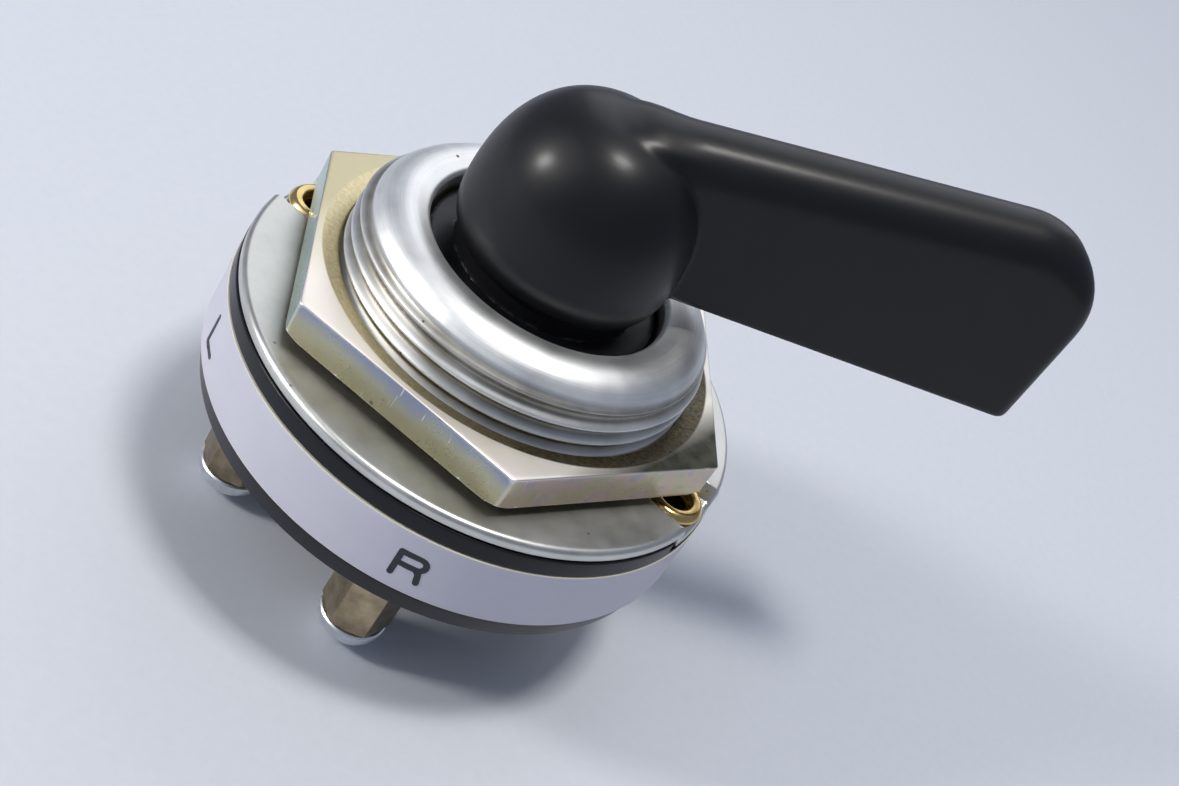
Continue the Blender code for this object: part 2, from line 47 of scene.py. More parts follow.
# Sizes are in mm and azimuths in degrees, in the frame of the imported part.
WALL_R = 22.3                   # the moulding, above and below its band
WALL_TOP = 9.74
CAVITY_R = 19.4
FLOOR_TOP = 3.0
AXIS_GAP = 0.3                  # pinhole that the turned moulding leaves at the axis
SEAT_R = 21.9                   # the shallow groove that the band lies in
SEAT_LOW = 2.05
SEAT_TOP = 8.14

BAND_INNER_R = 22.12
BAND_LOW = 2.18
BAND_TOP = 8.04
BAND_LOW_R = 22.5               # the band narrows a little towards its top edge
BAND_TOP_R = 22.38
LETTER_R = 22.45                # radius at which the width of a letter is measured

PLATE_LOW = 9.8
PLATE_TOP = 10.9
PLATE_R = 22.25
PLATE_HOLE_R = 15.6
PAD_HALF = 3.3                  # half the width of the two pressed pads
PAD_IN = 16.7                   # radius where they start
PAD_DROP = 1.45

THREAD_R = 15.68
THREAD_PITCH = 1.52
THREAD_DEEP = 0.62
THREAD_TURN = 0.34              # share of a turn that puts the crests where they are seen
THREAD_END = 19.6               # height where the last groove has run out into the nose
BUSH_LOW = 9.0
BUSH_MOUTH_R = 10.5
BUSH_TOP_Z = 21.12

NUT_FLATS = 35.9
NUT_CORNER = -33.7              # azimuth of one corner
NUT_LOW = 11.8
NUT_HIGH = 15.2
NUT_BORE = 15.72
NUT_SINK = 17.35                # radius of the countersink's mouth

EYELETS = {"eyelet_front": (19.4, -33.4), "eyelet_rear": (19.4, 146.6)}
TERMINALS = {"left": (15.8, -169.5), "right": (15.8, -105.0), "feed": (15.8, 40.0)}
PILLAR_LOW = -8.4
PILLAR_FLATS = 5.4
SCREW_HEAD_R = 2.95
SCREW_HEAD_H = 2.55

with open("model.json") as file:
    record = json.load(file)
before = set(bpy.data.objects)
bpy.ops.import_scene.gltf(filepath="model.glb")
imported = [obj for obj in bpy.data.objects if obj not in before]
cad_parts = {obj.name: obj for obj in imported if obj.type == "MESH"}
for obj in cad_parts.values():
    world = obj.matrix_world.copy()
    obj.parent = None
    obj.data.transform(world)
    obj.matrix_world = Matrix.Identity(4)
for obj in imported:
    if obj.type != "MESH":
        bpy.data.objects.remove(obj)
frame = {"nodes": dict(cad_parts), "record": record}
cad_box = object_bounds()


# ---------------------------------------------------------------- meshes, in mm

def link(name, mesh):
    obj = bpy.data.objects.new(name, mesh)
    bpy.context.scene.collection.objects.link(obj)
    return obj


def new_object(name, points, faces, finish, smooth=32.0):
    """Adds a mesh, smooth except at edges that bend by more than the angle in degrees."""
    mesh = bpy.data.meshes.new(name)
    mesh.from_pydata((np.asarray(points, float) * MM).tolist(), [], faces)
    mesh.validate()
    mesh.update()
    mesh.shade_smooth()
    mesh.set_sharp_from_angle(angle=math.radians(smooth))
    mesh.materials.append(finish)
    return link(name, mesh)


def rounded(corners, sweep=12.0):
    """A closed outline from (r, z, radius) corners, each with its own fillet."""
    path = []
    count = len(corners)
    for k, (x, y, radius) in enumerate(corners):
        here = Vector((x, y))
        back = Vector(corners[k - 1][:2]) - here
        ahead = Vector(corners[(k + 1) % count][:2]) - here
        half = back.angle(ahead) / 2
        if not radius or half > math.pi / 2 - 0.01:
            path.append((x, y))
            continue
        cut = min(radius / math.tan(half), 0.48 * back.length, 0.48 * ahead.length)
        radius = cut * math.tan(half)
        back.normalize()
        ahead.normalize()
        centre = here + (back + ahead).normalized() * radius / math.sin(half)
        first = here + back * cut - centre
        last = here + ahead * cut - centre
        turn = math.atan2(first.x * last.y - first.y * last.x, first.dot(last))
        steps = max(2, math.ceil(abs(math.degrees(turn)) / sweep))
        for n in range(steps + 1):
            spin = Matrix.Rotation(turn * n / steps, 2)
            path.append(tuple(centre + spin @ first))
    return path


def leg_points(start, end, step):
    """Points no more than step apart along a leg, with its start and without its end."""
    (x0, y0), (x1, y1) = start, end
    pieces = max(1, math.ceil(math.hypot(x1 - x0, y1 - y0) / step))
    return [(x0 + (x1 - x0) * n / pieces, y0 + (y1 - y0) * n / pieces) for n in range(pieces)]


def filled(outline, step):
    """The closed outline with its long edges cut up."""
    return [point for leg in zip(outline, outline[1:] + outline[:1]) for point in leg_points(*leg, step)]


def split_path(path, step):
    """The open path with its long legs cut up."""
    return [point for leg in zip(path, path[1:]) for point in leg_points(*leg, step)] + [path[-1]]


def ring_faces(rows, steps):
    """Quads between each ring of points and the next, with the last ring joined to the first."""
    faces = []
    for i in range(rows):
        j = (i + 1) % rows
        for k in range(steps):
            m = (k + 1) % steps
            faces.append((i * steps + k, i * steps + m, j * steps + m, j * steps + k))
    return faces


def turned(name, outline, finish, steps=FINE, reshape=None, smooth=32.0):
    """Turns a closed outline of (r, z) about Z. reshape(r, z, azimuth) may move the points."""
    angle = np.arange(steps) * math.tau / steps
    rows = np.array(outline, float)
    r = np.repeat(rows[:, :1], steps, 1)
    z = np.repeat(rows[:, 1:], steps, 1)
    a = np.repeat(angle[None, :], len(rows), 0)
    if reshape:
        r, z = reshape(r, z, a)
    points = np.stack([r * np.cos(a), r * np.sin(a), z], -1).reshape(-1, 3)
    faces = ring_faces(len(rows), steps)
    # The faces point outwards for an outline that runs anticlockwise.
    area = sum(p[0] * q[1] - q[0] * p[1] for p, q in zip(outline, outline[1:] + outline[:1]))
    if area < 0:
        faces = [face[::-1] for face in faces]
    return new_object(name, points, faces, finish, smooth)


def hexagon(a, flats, first_side, sharp):
    """How far a hexagon reaches at each azimuth. A higher sharp gives crisper corners."""
    reach = np.zeros_like(a)
    for k in range(6):
        reach += np.clip(np.cos(a - math.radians(first_side + 60 * k)), 0, None) ** sharp
    return flats / 2 / reach ** (1 / sharp)


def at_azimuth(radius, azimuth):
    turn = math.radians(azimuth)
    return radius * math.cos(turn), radius * math.sin(turn)


def moved(obj, place, turn=0.0):
    """Moves a piece made on the Z axis to a place (x, y), in its mesh, so the object stays at the origin."""
    shift = Matrix.Translation((place[0] * MM, place[1] * MM, 0))
    obj.data.transform(shift @ Matrix.Rotation(math.radians(turn), 4, "Z"))
    return obj


def cutter(name, made):
    """Makes a plain object from a bmesh, to be taken out of another."""
    mesh = bpy.data.meshes.new(name)
    made.to_mesh(mesh)
    made.free()
    return link(name, mesh)


def rod(radius, low, high):
    """A cutter: a plain cylinder on the Z axis."""
    made = bmesh.new()
    bmesh.ops.create_cone(
        made, cap_ends=True, segments=SMALL, radius1=radius * MM, radius2=radius * MM,
        depth=(high - low) * MM, matrix=Matrix.Translation((0, 0, (low + high) / 2 * MM)),
    )
    return cutter("hole", made)


def box(size, middle_z):
    """A cutter: a plain box with its middle on the Z axis."""
    made = bmesh.new()
    scale = Matrix.Diagonal((*(side * MM for side in size), 1))
    bmesh.ops.create_cube(made, size=1.0, matrix=Matrix.Translation((0, 0, middle_z * MM)) @ scale)
    return cutter("slot", made)


def cut(obj, tool):
    """Takes one mesh out of another and drops the cutter."""
    step = obj.modifiers.new("cut", "BOOLEAN")
    step.operation = "DIFFERENCE"
    step.solver = "EXACT"
    step.object = tool
    bpy.context.view_layer.update()
    graph = bpy.context.evaluated_depsgraph_get()
    result = bpy.data.meshes.new_from_object(obj.evaluated_get(graph))
    obj.modifiers.clear()
    obj.data = result
    bpy.data.objects.remove(tool, do_unlink=True)


def smoothstep(low, high, value):
    t = np.clip((value - low) / (high - low), 0, 1)
    return t * t * (3 - 2 * t)


# ---------------------------------------------------------------- materials

class Nodes:
    """A small helper that adds nodes to one material."""

    def __init__(self, name, colour, roughness, metallic=0.0):
        self.material = bpy.data.materials.new(name)
        self.material.use_nodes = True
        self.tree = self.material.node_tree
        self.shader = self.tree.nodes["Principled BSDF"]
        self.shader.inputs["Base Color"].default_value = (*colour, 1)
        self.shader.inputs["Roughness"].default_value = roughness
        self.shader.inputs["Metallic"].default_value = metallic
        self.point = self.add("ShaderNodeTexCoord").outputs["Object"]

    def add(self, kind, **settings):
        node = self.tree.nodes.new(kind)
        for key, value in settings.items():
            setattr(node, key, value)
        return node

    def put(self, socket, value):
        """Links an output to a socket, or sets the socket to a constant."""
        if isinstance(value, bpy.types.NodeSocket):
            self.tree.links.new(value, socket)
        elif isinstance(value, tuple) and len(value) == 3 and socket.type == "RGBA":
            socket.default_value = (*value, 1)
        else:
            socket.default_value = value

    def math(self, operation, a, b=0.0):
        node = self.add("ShaderNodeMath", operation=operation)
        self.put(node.inputs[0], a)
        self.put(node.inputs[1], b)
        return node.outputs[0]

    def times(self, a, b):
        return self.math("MULTIPLY", a, b)

    def plus(self, a, b):
        return self.math("ADD", a, b)

    def minus(self, a, b):
        return self.math("SUBTRACT", a, b)

    def average(self, a, weight, b):
        """The average of a and b, with the weight that a has."""
        return self.plus(self.times(a, weight), self.times(b, 1 - weight))

    def split(self, vector):
        node = self.add("ShaderNodeSeparateXYZ")
        self.put(node.inputs[0], vector)
        return node.outputs

    def join(self, *numbers):
        node = self.add("ShaderNodeCombineXYZ")
        for socket, number in zip(node.inputs, numbers):
            self.put(socket, number)
        return node.outputs[0]

    def stretched(self, x, y, z):
        """Object coordinates multiplied by a scale for each axis."""
        node = self.add("ShaderNodeVectorMath", operation="MULTIPLY")
        self.put(node.inputs[0], self.point)
        node.inputs[1].default_value = (x, y, z)
        return node.outputs[0]

    def turned(self, along_radius, along_turn, along_height):
        """Coordinates that run out from the Z axis, round it and along it.

        The scales out and along are per metre. Round the axis the coordinate is a point on a circle
        of radius along_turn, so it has no seam.
        """
        x, y, z = self.split(self.point)
        radius = self.math("SQRT", self.plus(self.times(x, x), self.times(y, y)))
        unit_x, unit_y = self.math("DIVIDE", x, radius), self.math("DIVIDE", y, radius)
        flow = self.add("ShaderNodeVectorMath", operation="ADD")
        self.put(flow.inputs[0], self.join(self.times(radius, along_radius), 0.0, self.times(z, along_height)))
        self.put(flow.inputs[1], self.join(self.times(unit_x, along_turn), self.times(unit_y, along_turn)))
        return flow.outputs[0]

    def noise(self, scale, detail, rough, source=None, seed=0.0, distortion=0.0):
        node = self.add("ShaderNodeTexNoise", noise_dimensions="4D")
        self.put(node.inputs["Vector"], source or self.point)
        node.inputs["Scale"].default_value = scale
        node.inputs["Detail"].default_value = detail
        node.inputs["Roughness"].default_value = rough
        node.inputs["Distortion"].default_value = distortion
        node.inputs["W"].default_value = seed
        return node.outputs["Fac"]

    def specks(self, scale, size, seed):
        """1 inside small spots. size is their radius as a share of the cell."""
        node = self.add("ShaderNodeTexVoronoi", voronoi_dimensions="4D")
        self.put(node.inputs["Vector"], self.point)
        node.inputs["Scale"].default_value = scale
        node.inputs["W"].default_value = seed
        return self.math("LESS_THAN", node.outputs["Distance"], size)

    def scattered(self, scale, size, seed, patch_scale, above):
        """Specks that are kept only where a broad noise is above a level."""
        patch = self.math("GREATER_THAN", self.noise(patch_scale, 1, 0.5, seed=seed + 1), above)
        return self.times(self.specks(scale, size, seed), patch)

    def ramp(self, value, stops):
        node = self.add("ShaderNodeValToRGB")
        self.put(node.inputs[0], value)
        ramp = node.color_ramp
        while len(ramp.elements) < len(stops):
            ramp.elements.new(0.5)
        for element, (place, colour) in zip(ramp.elements, stops):
            element.position = place
            element.color = (*colour, 1)
        return node.outputs[0]

    def span(self, value, low, high, to_low, to_high):
        node = self.add("ShaderNodeMapRange")
        for socket, number in zip(node.inputs, (value, low, high, to_low, to_high)):
            self.put(socket, number)
        return node.outputs[0]

    def span_mm(self, value, low, high, most=1.0):
        """0 at low and the most at high, which are in mm."""
        return self.span(value, low * MM, high * MM, 0.0, most)

    def mix(self, share, first, second):
        node = self.add("ShaderNodeMix", data_type="RGBA")
        self.put(node.inputs["Factor"], share)
        colours = [s for s in node.inputs if s.type == "RGBA"]
        self.put(colours[0], first)
        self.put(colours[1], second)
        return [s for s in node.outputs if s.type == "RGBA"][0]

    def facing_up(self):
        """How far the surface faces up, from -1 to 1, in the object's own space."""
        return self.split(self.add("ShaderNodeTexCoord").outputs["Normal"])[2]

    def toward(self, azimuth):
        """How far the surface faces a compass direction, from -1 to 1."""
        dot = self.add("ShaderNodeVectorMath", operation="DOT_PRODUCT")
        self.put(dot.inputs[0], self.add("ShaderNodeTexCoord").outputs["Normal"])
        dot.inputs[1].default_value = (*at_azimuth(1.0, azimuth), 0)
        return dot.outputs["Value"]

    def height(self):
        return self.split(self.point)[2]

    def reach(self):
        """Distance from the Z axis, in metres."""
        length = self.add("ShaderNodeVectorMath", operation="LENGTH")
        self.put(length.inputs[0], self.stretched(1, 1, 0))
        return length.outputs["Value"]

    def edges(self, low, high):
        """1 on convex edges, from the shape itself."""
        geometry = self.add("ShaderNodeNewGeometry")
        return self.span(geometry.outputs["Pointiness"], low, high, 0.0, 1.0)

    def colour(self, value):
        self.put(self.shader.inputs["Base Color"], value)

    def roughness(self, value):
        self.put(self.shader.inputs["Roughness"], value)

    def bump(self, height, distance, strength):
        """Adds a bump, distance in mm, on top of the ones that are there."""
        node = self.add("ShaderNodeBump")
        node.inputs["Strength"].default_value = strength
        node.inputs["Distance"].default_value = distance * MM
        self.put(node.inputs["Height"], height)
        existing = self.shader.inputs["Normal"].links
        if existing:
            self.tree.links.new(existing[0].from_socket, node.inputs["Normal"])
        self.put(self.shader.inputs["Normal"], node.outputs[0])


def black_plastic(name, colour, low, high, dust, gloss=0.5, coat=0.0):
    """Moulded black plastic: a fine skin, soft patches of sheen, and a little dust."""
    n = Nodes(name, colour, (low + high) / 2)
    n.shader.inputs["Specular IOR Level"].default_value = gloss
    n.shader.inputs["Coat Weight"].default_value = coat
    n.shader.inputs["Coat Roughness"].default_value = 0.25
    patches = n.noise(260, 4, 0.6, seed=1.0)
    grain = n.noise(9000, 2, 0.5, seed=2.0)
    n.roughness(n.span(n.average(patches, 0.75, grain), 0.3, 0.7, low, high))
    cloud = n.noise(420, 4, 0.6, seed=3.0)
    base = n.mix(cloud, tuple(c * 0.8 for c in colour), tuple(c * 1.25 for c in colour))
    n.colour(n.mix(n.scattered(240, dust, 4.0, 150, 0.5), base, (0.42, 0.42, 0.45)))
    n.bump(grain, 0.006, 0.5)
    n.bump(n.noise(520, 2, 0.5, seed=6.0), 0.03, 0.3)
    return n.material


def paper_band():
    """Pale printed band: slight lavender, faint fibre, grubby towards its edges."""
    n = Nodes("printed band", (0.56, 0.555, 0.66), 0.6)
    cloud = n.noise(180, 4, 0.6, seed=1.0)
    fibre = n.noise(2600, 3, 0.6, source=n.turned(1.0, 0.0012, 1.0), seed=2.0)
    shade = n.mix(cloud, (0.52, 0.515, 0.60), (0.60, 0.595, 0.67))
    shade = n.mix(n.times(fibre, 0.22), shade, (0.45, 0.44, 0.51))
    top = n.span_mm(n.height(), BAND_TOP - 0.16, BAND_TOP - 0.02)
    low = n.span_mm(n.height(), BAND_LOW + 0.14, BAND_LOW + 0.01)
    n.colour(n.mix(n.times(n.math("MAXIMUM", top, low), 0.85), shade, (0.72, 0.68, 0.54)))
    n.roughness(n.span(cloud, 0.3, 0.7, 0.5, 0.66))
    n.bump(fibre, 0.012, 0.4)
    return n.material


def ink():
    n = Nodes("band ink", (0.012, 0.014, 0.022), 0.45)
    wear = n.noise(2200, 3, 0.6)
    n.colour(n.mix(n.span(wear, 0.55, 0.8, 0.0, 0.5), (0.010, 0.012, 0.02), (0.05, 0.05, 0.07)))
    n.bump(wear, 0.01, 0.4)
    return n.material


def plate_zinc():
    """Satin zinc plate on sheet steel: even grey with faint cloudy stains and fine pits."""
    n = Nodes("satin zinc", (0.62, 0.63, 0.59), 0.34, 1.0)
    cloud = n.noise(230, 5, 0.62, seed=1.0)
    fine = n.noise(5200, 3, 0.6, seed=2.0)
    base = n.ramp(cloud, [(0.28, (0.51, 0.52, 0.49)), (0.5, (0.61, 0.61, 0.58)), (0.75, (0.69, 0.69, 0.66))])
    n.colour(n.mix(n.times(n.specks(900, 0.12, 3.0), 0.6), base, (0.16, 0.16, 0.14)))
    n.roughness(n.span(n.average(cloud, 0.6, fine), 0.3, 0.7, 0.30, 0.46))
    n.bump(fine, 0.006, 0.45)
    return n.material


def bush_zinc():
    """Bright zinc over a turned bush: fine rings from the lathe, cloudy satin, darker thread roots, nicks."""
    n = Nodes("turned bright zinc", (0.80, 0.81, 0.81), 0.3, 1.0)
    rings = n.noise(1.0, 3, 0.7, source=n.turned(7000, 0.5, 7000), seed=1.0)
    broad = n.noise(1.0, 3, 0.6, source=n.turned(1500, 2.0, 1500), seed=2.0)
    cloud = n.noise(210, 4, 0.6, seed=3.0)
    base = n.ramp(cloud, [(0.25, (0.70, 0.71, 0.71)), (0.55, (0.84, 0.85, 0.85)), (0.8, (0.92, 0.92, 0.90))])
    base = n.mix(n.times(n.span(rings, 0.5, 0.75, 0.0, 1.0), 0.4), base, (0.50, 0.51, 0.51))
    # The thread roots turn a darker brown below the nose, broken up by the cloud.
    roots = n.span_mm(n.reach(), THREAD_R, THREAD_R - 0.53)
    below = n.span_mm(n.height(), THREAD_END, THREAD_END - 0.6)
    darker_roots = n.times(n.times(roots, below), n.span(cloud, 0.2, 0.7, 0.95, 0.6))
    base = n.mix(darker_roots, base, (0.16, 0.14, 0.10))
    n.colour(n.mix(n.scattered(480, 0.09, 4.0, 300, 0.52), base, (0.10, 0.10, 0.09)))
    n.roughness(n.span(n.average(rings, 0.5, cloud), 0.3, 0.7, 0.38, 0.56))
    n.bump(rings, 0.010, 0.45)
    n.bump(broad, 0.014, 0.3)
    return n.material


def passivated_zinc():
    """Yellow-passivated zinc: straw, pink and blue films, worn bright on the side edges, with a painted blue
    reflection on the sides, painted light and shade in the countersink and a painted dark reflection on the
    top.
    """
    n = Nodes("yellow passivated zinc", (0.72, 0.68, 0.52), 0.26, 0.85)
    x, y, _ = n.split(n.point)
    drift = n.noise(150, 3, 0.55, seed=1.0, distortion=0.8)
    patch = n.noise(330, 4, 0.65, seed=6.0, distortion=1.2)

    # Round the sides the film runs from olive and straw up to blue under the top edge. The blue is partly the
    # film's own tint and partly a painted reflection.
    fall = n.plus(n.span_mm(n.height(), NUT_LOW, NUT_HIGH), n.span(drift, 0.3, 0.7, -0.2, 0.2))
    side = n.ramp(fall, [
        (0.05, (0.46, 0.42, 0.26)), (0.38, (0.45, 0.42, 0.27)), (0.60, (0.44, 0.43, 0.33)),
        (0.84, (0.33, 0.36, 0.42)), (1.00, (0.28, 0.32, 0.42)),
    ])
    warm = n.ramp(patch, [
        (0.30, (0.42, 0.46, 0.30)), (0.44, (0.62, 0.55, 0.34)), (0.54, (0.70, 0.50, 0.44)),
        (0.66, (0.42, 0.46, 0.50)), (0.8, (0.55, 0.44, 0.24)),
    ])
    side = n.mix(n.span(n.toward(NUT_CORNER - 30), 0.7, 0.95, 0.0, 0.75), side, warm)
    side = n.mix(n.span(n.toward(NUT_CORNER - 150), 0.7, 0.95, 0.0, 0.7), side, (0.50, 0.66, 0.60))

    # The top is pale, straw at the back left, with a painted dark reflection at the front right.
    top = n.mix(n.span(patch, 0.35, 0.65, 0.0, 1.0), (0.94, 0.86, 0.82), (0.90, 0.87, 0.74))
    top = n.mix(n.span_mm(n.minus(y, x), 12, 22, 0.85), top, (0.52, 0.46, 0.27))
    # The front-right corner is painted dark as a reflection, in broken patches.
    reflection_breakup = n.span(n.noise(600, 3, 0.6, seed=7.0), 0.36, 0.62, 1.0, 0.92)
    painted_dark_reflection = n.times(n.span_mm(n.minus(x, y), 21, 25), reflection_breakup)
    top = n.mix(n.times(painted_dark_reflection, 0.98), top, (0.045, 0.048, 0.03))
    up = n.span(n.facing_up(), 0.75, 0.97, 0.0, 1.0)
    film = n.mix(up, side, top)

    # The countersink is a golden brown, with painted shade at the front and painted light at the back left.
    grit = n.span(n.noise(2600, 3, 0.7, seed=8.0), 0.35, 0.7, 0.0, 1.0)
    sink_painted_shade = n.mix(grit, (0.06, 0.05, 0.03), (0.19, 0.16, 0.10))
    sink_painted_light = n.mix(grit, (0.60, 0.52, 0.30), (0.78, 0.70, 0.47))
    sunk = n.mix(n.span_mm(n.plus(x, n.times(y, -0.35)), 6, -12), sink_painted_shade, sink_painted_light)
    ring = n.span_mm(n.reach(), NUT_SINK + 0.10, NUT_SINK - 0.05)
    upper = n.span_mm(n.height(), NUT_HIGH - 1.7, NUT_HIGH - 1.0)
    film = n.mix(n.times(ring, upper), film, sunk)

    # Scores, dark marks and bright worn edges. The first and last keep to the sides.
    sideways = n.minus(1.0, up)
    lines = n.span(n.noise(1.0, 2, 0.8, source=n.stretched(2600, 2600, 260), seed=9.0), 0.63, 0.7, 0.0, 1.0)
    where = n.span(n.noise(160, 1, 0.5, seed=10.0), 0.52, 0.6, 0.0, 0.8)
    film = n.mix(n.times(n.times(lines, where), sideways), film, (0.86, 0.84, 0.78))
    film = n.mix(n.times(n.specks(420, 0.10, 5.0), 0.7), film, (0.10, 0.085, 0.06))
    film = n.mix(n.times(n.edges(0.515, 0.56), sideways), film, (0.88, 0.87, 0.84))
    n.colour(film)

    fine = n.noise(3600, 3, 0.65, seed=3.0)
    n.roughness(n.plus(n.span(n.average(drift, 0.5, fine), 0.3, 0.7, 0.22, 0.38), n.times(up, 0.16)))
    n.bump(fine, 0.006, 0.45)
    n.bump(n.noise(1.0, 2, 0.8, source=n.stretched(500, 520, 5200), seed=4.0), 0.005, 0.3)
    n.bump(n.noise(420, 3, 0.6, seed=11.0), 0.02, 0.3)
    return n.material


def polished(name, dark, bright, low, high, seed):
    """A small plated or drawn metal piece with cloudy tarnish and fine marks."""
    n = Nodes(name, bright, (low + high) / 2, 1.0)
    cloud = n.noise(520, 4, 0.6, seed=seed)
    fine = n.noise(4200, 3, 0.6, seed=seed + 1)
    n.colour(n.mix(n.span(cloud, 0.35, 0.68, 0.0, 1.0), dark, bright))
    n.roughness(n.span(n.average(cloud, 0.6, fine), 0.3, 0.7, high, low))
    n.bump(fine, 0.005, 0.4)
    return n.material


PHENOLIC = black_plastic("black phenolic", (0.007, 0.007, 0.010), 0.26, 0.38, 0.05, 0.25)
LEVER = black_plastic("satin black plastic", (0.0050, 0.0052, 0.0070), 0.42, 0.52, 0.065, 0.19, 0.23)
BAND = paper_band()
INK = ink()
PLATE = plate_zinc()
BUSH = bush_zinc()
NUT = passivated_zinc()
BRASS = polished("brass", (0.55, 0.38, 0.14), (0.88, 0.66, 0.30), 0.14, 0.30, 2.0)
# The pillars' brass is painted darker and duller than the eyelets' brass, as shade under the moulding.
PILLAR = polished("pillar brass in painted shade", (0.26, 0.20, 0.13), (0.50, 0.41, 0.27), 0.24, 0.42, 12.0)
STEEL = polished("plated steel", (0.70, 0.73, 0.77), (0.94, 0.96, 0.98), 0.30, 0.44, 4.0)
SPRING = polished("spring steel", (0.20, 0.20, 0.21), (0.45, 0.45, 0.46), 0.22, 0.38, 6.0)
BRONZE = polished("phosphor bronze", (0.48, 0.27, 0.14), (0.76, 0.48, 0.28), 0.22, 0.38, 8.0)
FIBRE = black_plastic("grey fibre", (0.26, 0.24, 0.21), 0.72, 0.88, 0.02)


# ---------------------------------------------------------------- the fixed pieces

def pad_share(r, a, grow=0.0, soft=0.35):
    """How far a point of the plate lies in a pad: 0 on the flat plate, 1 on the pad."""
    share = np.zeros_like(r)
    for _, azimuth in EYELETS.values():
        turn = a - math.radians(azimuth)
        along = r * np.cos(turn)
        across = np.abs(r * np.sin(turn))
        side = 1 - smoothstep(PAD_HALF + grow - soft / 2, PAD_HALF + grow + soft / 2, across)
        inner = smoothstep(PAD_IN - grow - soft / 2, PAD_IN - grow + soft / 2, along)
        share = np.maximum(share, side * inner * (np.cos(turn) > 0))
    return share


def make_base_moulding():
    outline = rounded([
        (AXIS_GAP, 0, 0), (21.85, 0, 0.25), (WALL_R, 1.9, 0.1), (WALL_R, SEAT_LOW - 0.02, 0.05),
        (SEAT_R, SEAT_LOW, 0), (SEAT_R, SEAT_TOP, 0), (WALL_R, SEAT_TOP + 0.04, 0.05),
        (WALL_R, WALL_TOP, 0.15), (CAVITY_R, WALL_TOP, 0.1), (CAVITY_R, FLOOR_TOP, 0.2),
        (AXIS_GAP, FLOOR_TOP, 0),
    ])
    notch_floor = 8.2

    def notch(r, z, a):
        """Sinks the wall's top under each pad of the plate."""
        sunk = pad_share(r, a, grow=0.9, soft=0.2) * smoothstep(notch_floor, 9.5, z)
        return r, z - sunk * (z - notch_floor)

    body = turned("moulding", filled(outline, 0.6), PHENOLIC, steps=360, reshape=notch)
    # The floor's middle is closed by a small disc, since the turned wall leaves a pinhole at the axis.
    disc = rounded([(0.02, 0.02, 0), (0.28, 0.02, 0), (0.28, 2.98, 0), (0.02, 2.98, 0)])
    plug = turned("moulding_centre", disc, PHENOLIC, 24)
    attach(plug, "body")
    for place in TERMINALS.values():
        cut(body, moved(rod(1.75, -1, 4), at_azimuth(*place)))
    for place in EYELETS.values():
        cut(body, moved(rod(1.9, -1, 4), at_azimuth(*place)))
    return body


def make_band():
    outline = rounded([
        (BAND_INNER_R, BAND_LOW, 0), (BAND_LOW_R, BAND_LOW, 0.06), (BAND_TOP_R, BAND_TOP, 0.06),
        (BAND_INNER_R, BAND_TOP, 0),
    ], 20)
    return turned("band", filled(outline, 0.4), BAND)


def band_skin(z):
    """The band's outer radius at a height."""
    return BAND_LOW_R - (BAND_LOW_R - BAND_TOP_R) * (z - BAND_LOW) / (BAND_TOP - BAND_LOW)


def letter(name, strokes, azimuth, low, width):
    """Flat raised strokes with round ends on the band. Points are (across, up) from the letter's corner."""
    points, faces = [], []
    half = width / 2
    quarter = math.pi / 2
    lift = 0.0
    for stroke in strokes:
        ends = [Vector(p) for p in split_path(stroke, 0.25)]
        for start, end in zip(ends, ends[1:]):
            along = (end - start).normalized()
            side = Vector((-along.y, along.x))
            rim = [start + half * (math.cos(t) * -along + math.sin(t) * side)
                   for t in np.linspace(quarter, -quarter, 9)]
            rim += [end + half * (math.cos(t) * along + math.sin(t) * side)
                    for t in np.linspace(-quarter, quarter, 9)]
            first = len(points)
            count = len(rim)
            # Pieces of stroke overlap, so each stands a little higher than the last.
            lift = (lift + 0.002) % 0.03
            for level in (-0.03, 0.018 + lift):
                for p in rim:
                    z = low + p.y
                    turn = math.radians(azimuth) + p.x / LETTER_R
                    skin = band_skin(z) + level
                    points.append((skin * math.cos(turn), skin * math.sin(turn), z))
            faces.append(tuple(range(first + count, first + 2 * count))[::-1])
            faces.append(tuple(range(first, first + count)))
            for k in range(count):
                m = (k + 1) % count
                faces.append((first + k, first + m, first + count + m, first + count + k))
    obj = new_object(name, points, faces, INK, 30)
    made = bmesh.new()
    made.from_mesh(obj.data)
    bmesh.ops.recalc_face_normals(made, faces=made.faces[:])
    made.to_mesh(obj.data)
    made.free()
    return obj


def make_letters():
    """R and L, the marks for the two throws."""
    tall, waist, bowl_x = 2.35, 1.2, 1.65
    bowl_r = (tall - waist) / 2
    bowl = [(0.0, tall), (bowl_x, tall)]
    for t in np.linspace(90, -90, 9)[1:]:
        across, up = at_azimuth(bowl_r, t)
        bowl.append((bowl_x + across, waist + bowl_r + up))
    bowl.append((0.0, waist))
    leg = [(1.55, waist), (1.95, 0.9), (2.15, 0.0)]
    right = letter("mark_right", [[(0.0, 0.0), (0.0, tall)], bowl, leg], -105.6, 3.65, 0.52)
    left = letter("mark_left", [[(0.0, 2.6), (0.0, 0.0), (1.9, 0.0)]], -171.9, 3.75, 0.48)
    return right, left


def make_cover_plate():
    outline = rounded([
        (PLATE_HOLE_R, PLATE_LOW, 0.05), (PLATE_R - 0.03, PLATE_LOW, 0.3), (PLATE_R, PLATE_TOP, 0.52),
        (PLATE_HOLE_R, PLATE_TOP, 0.08),
    ], 10)

    def press(r, z, a):
        return r, z - PAD_DROP * pad_share(r, a)

    plate = turned("cover", filled(outline, 0.18), PLATE, steps=720, reshape=press, smooth=50)
    for place in EYELETS.values():
        cut(plate, moved(rod(1.75, 5, 12), at_azimuth(*place)))
    return plate


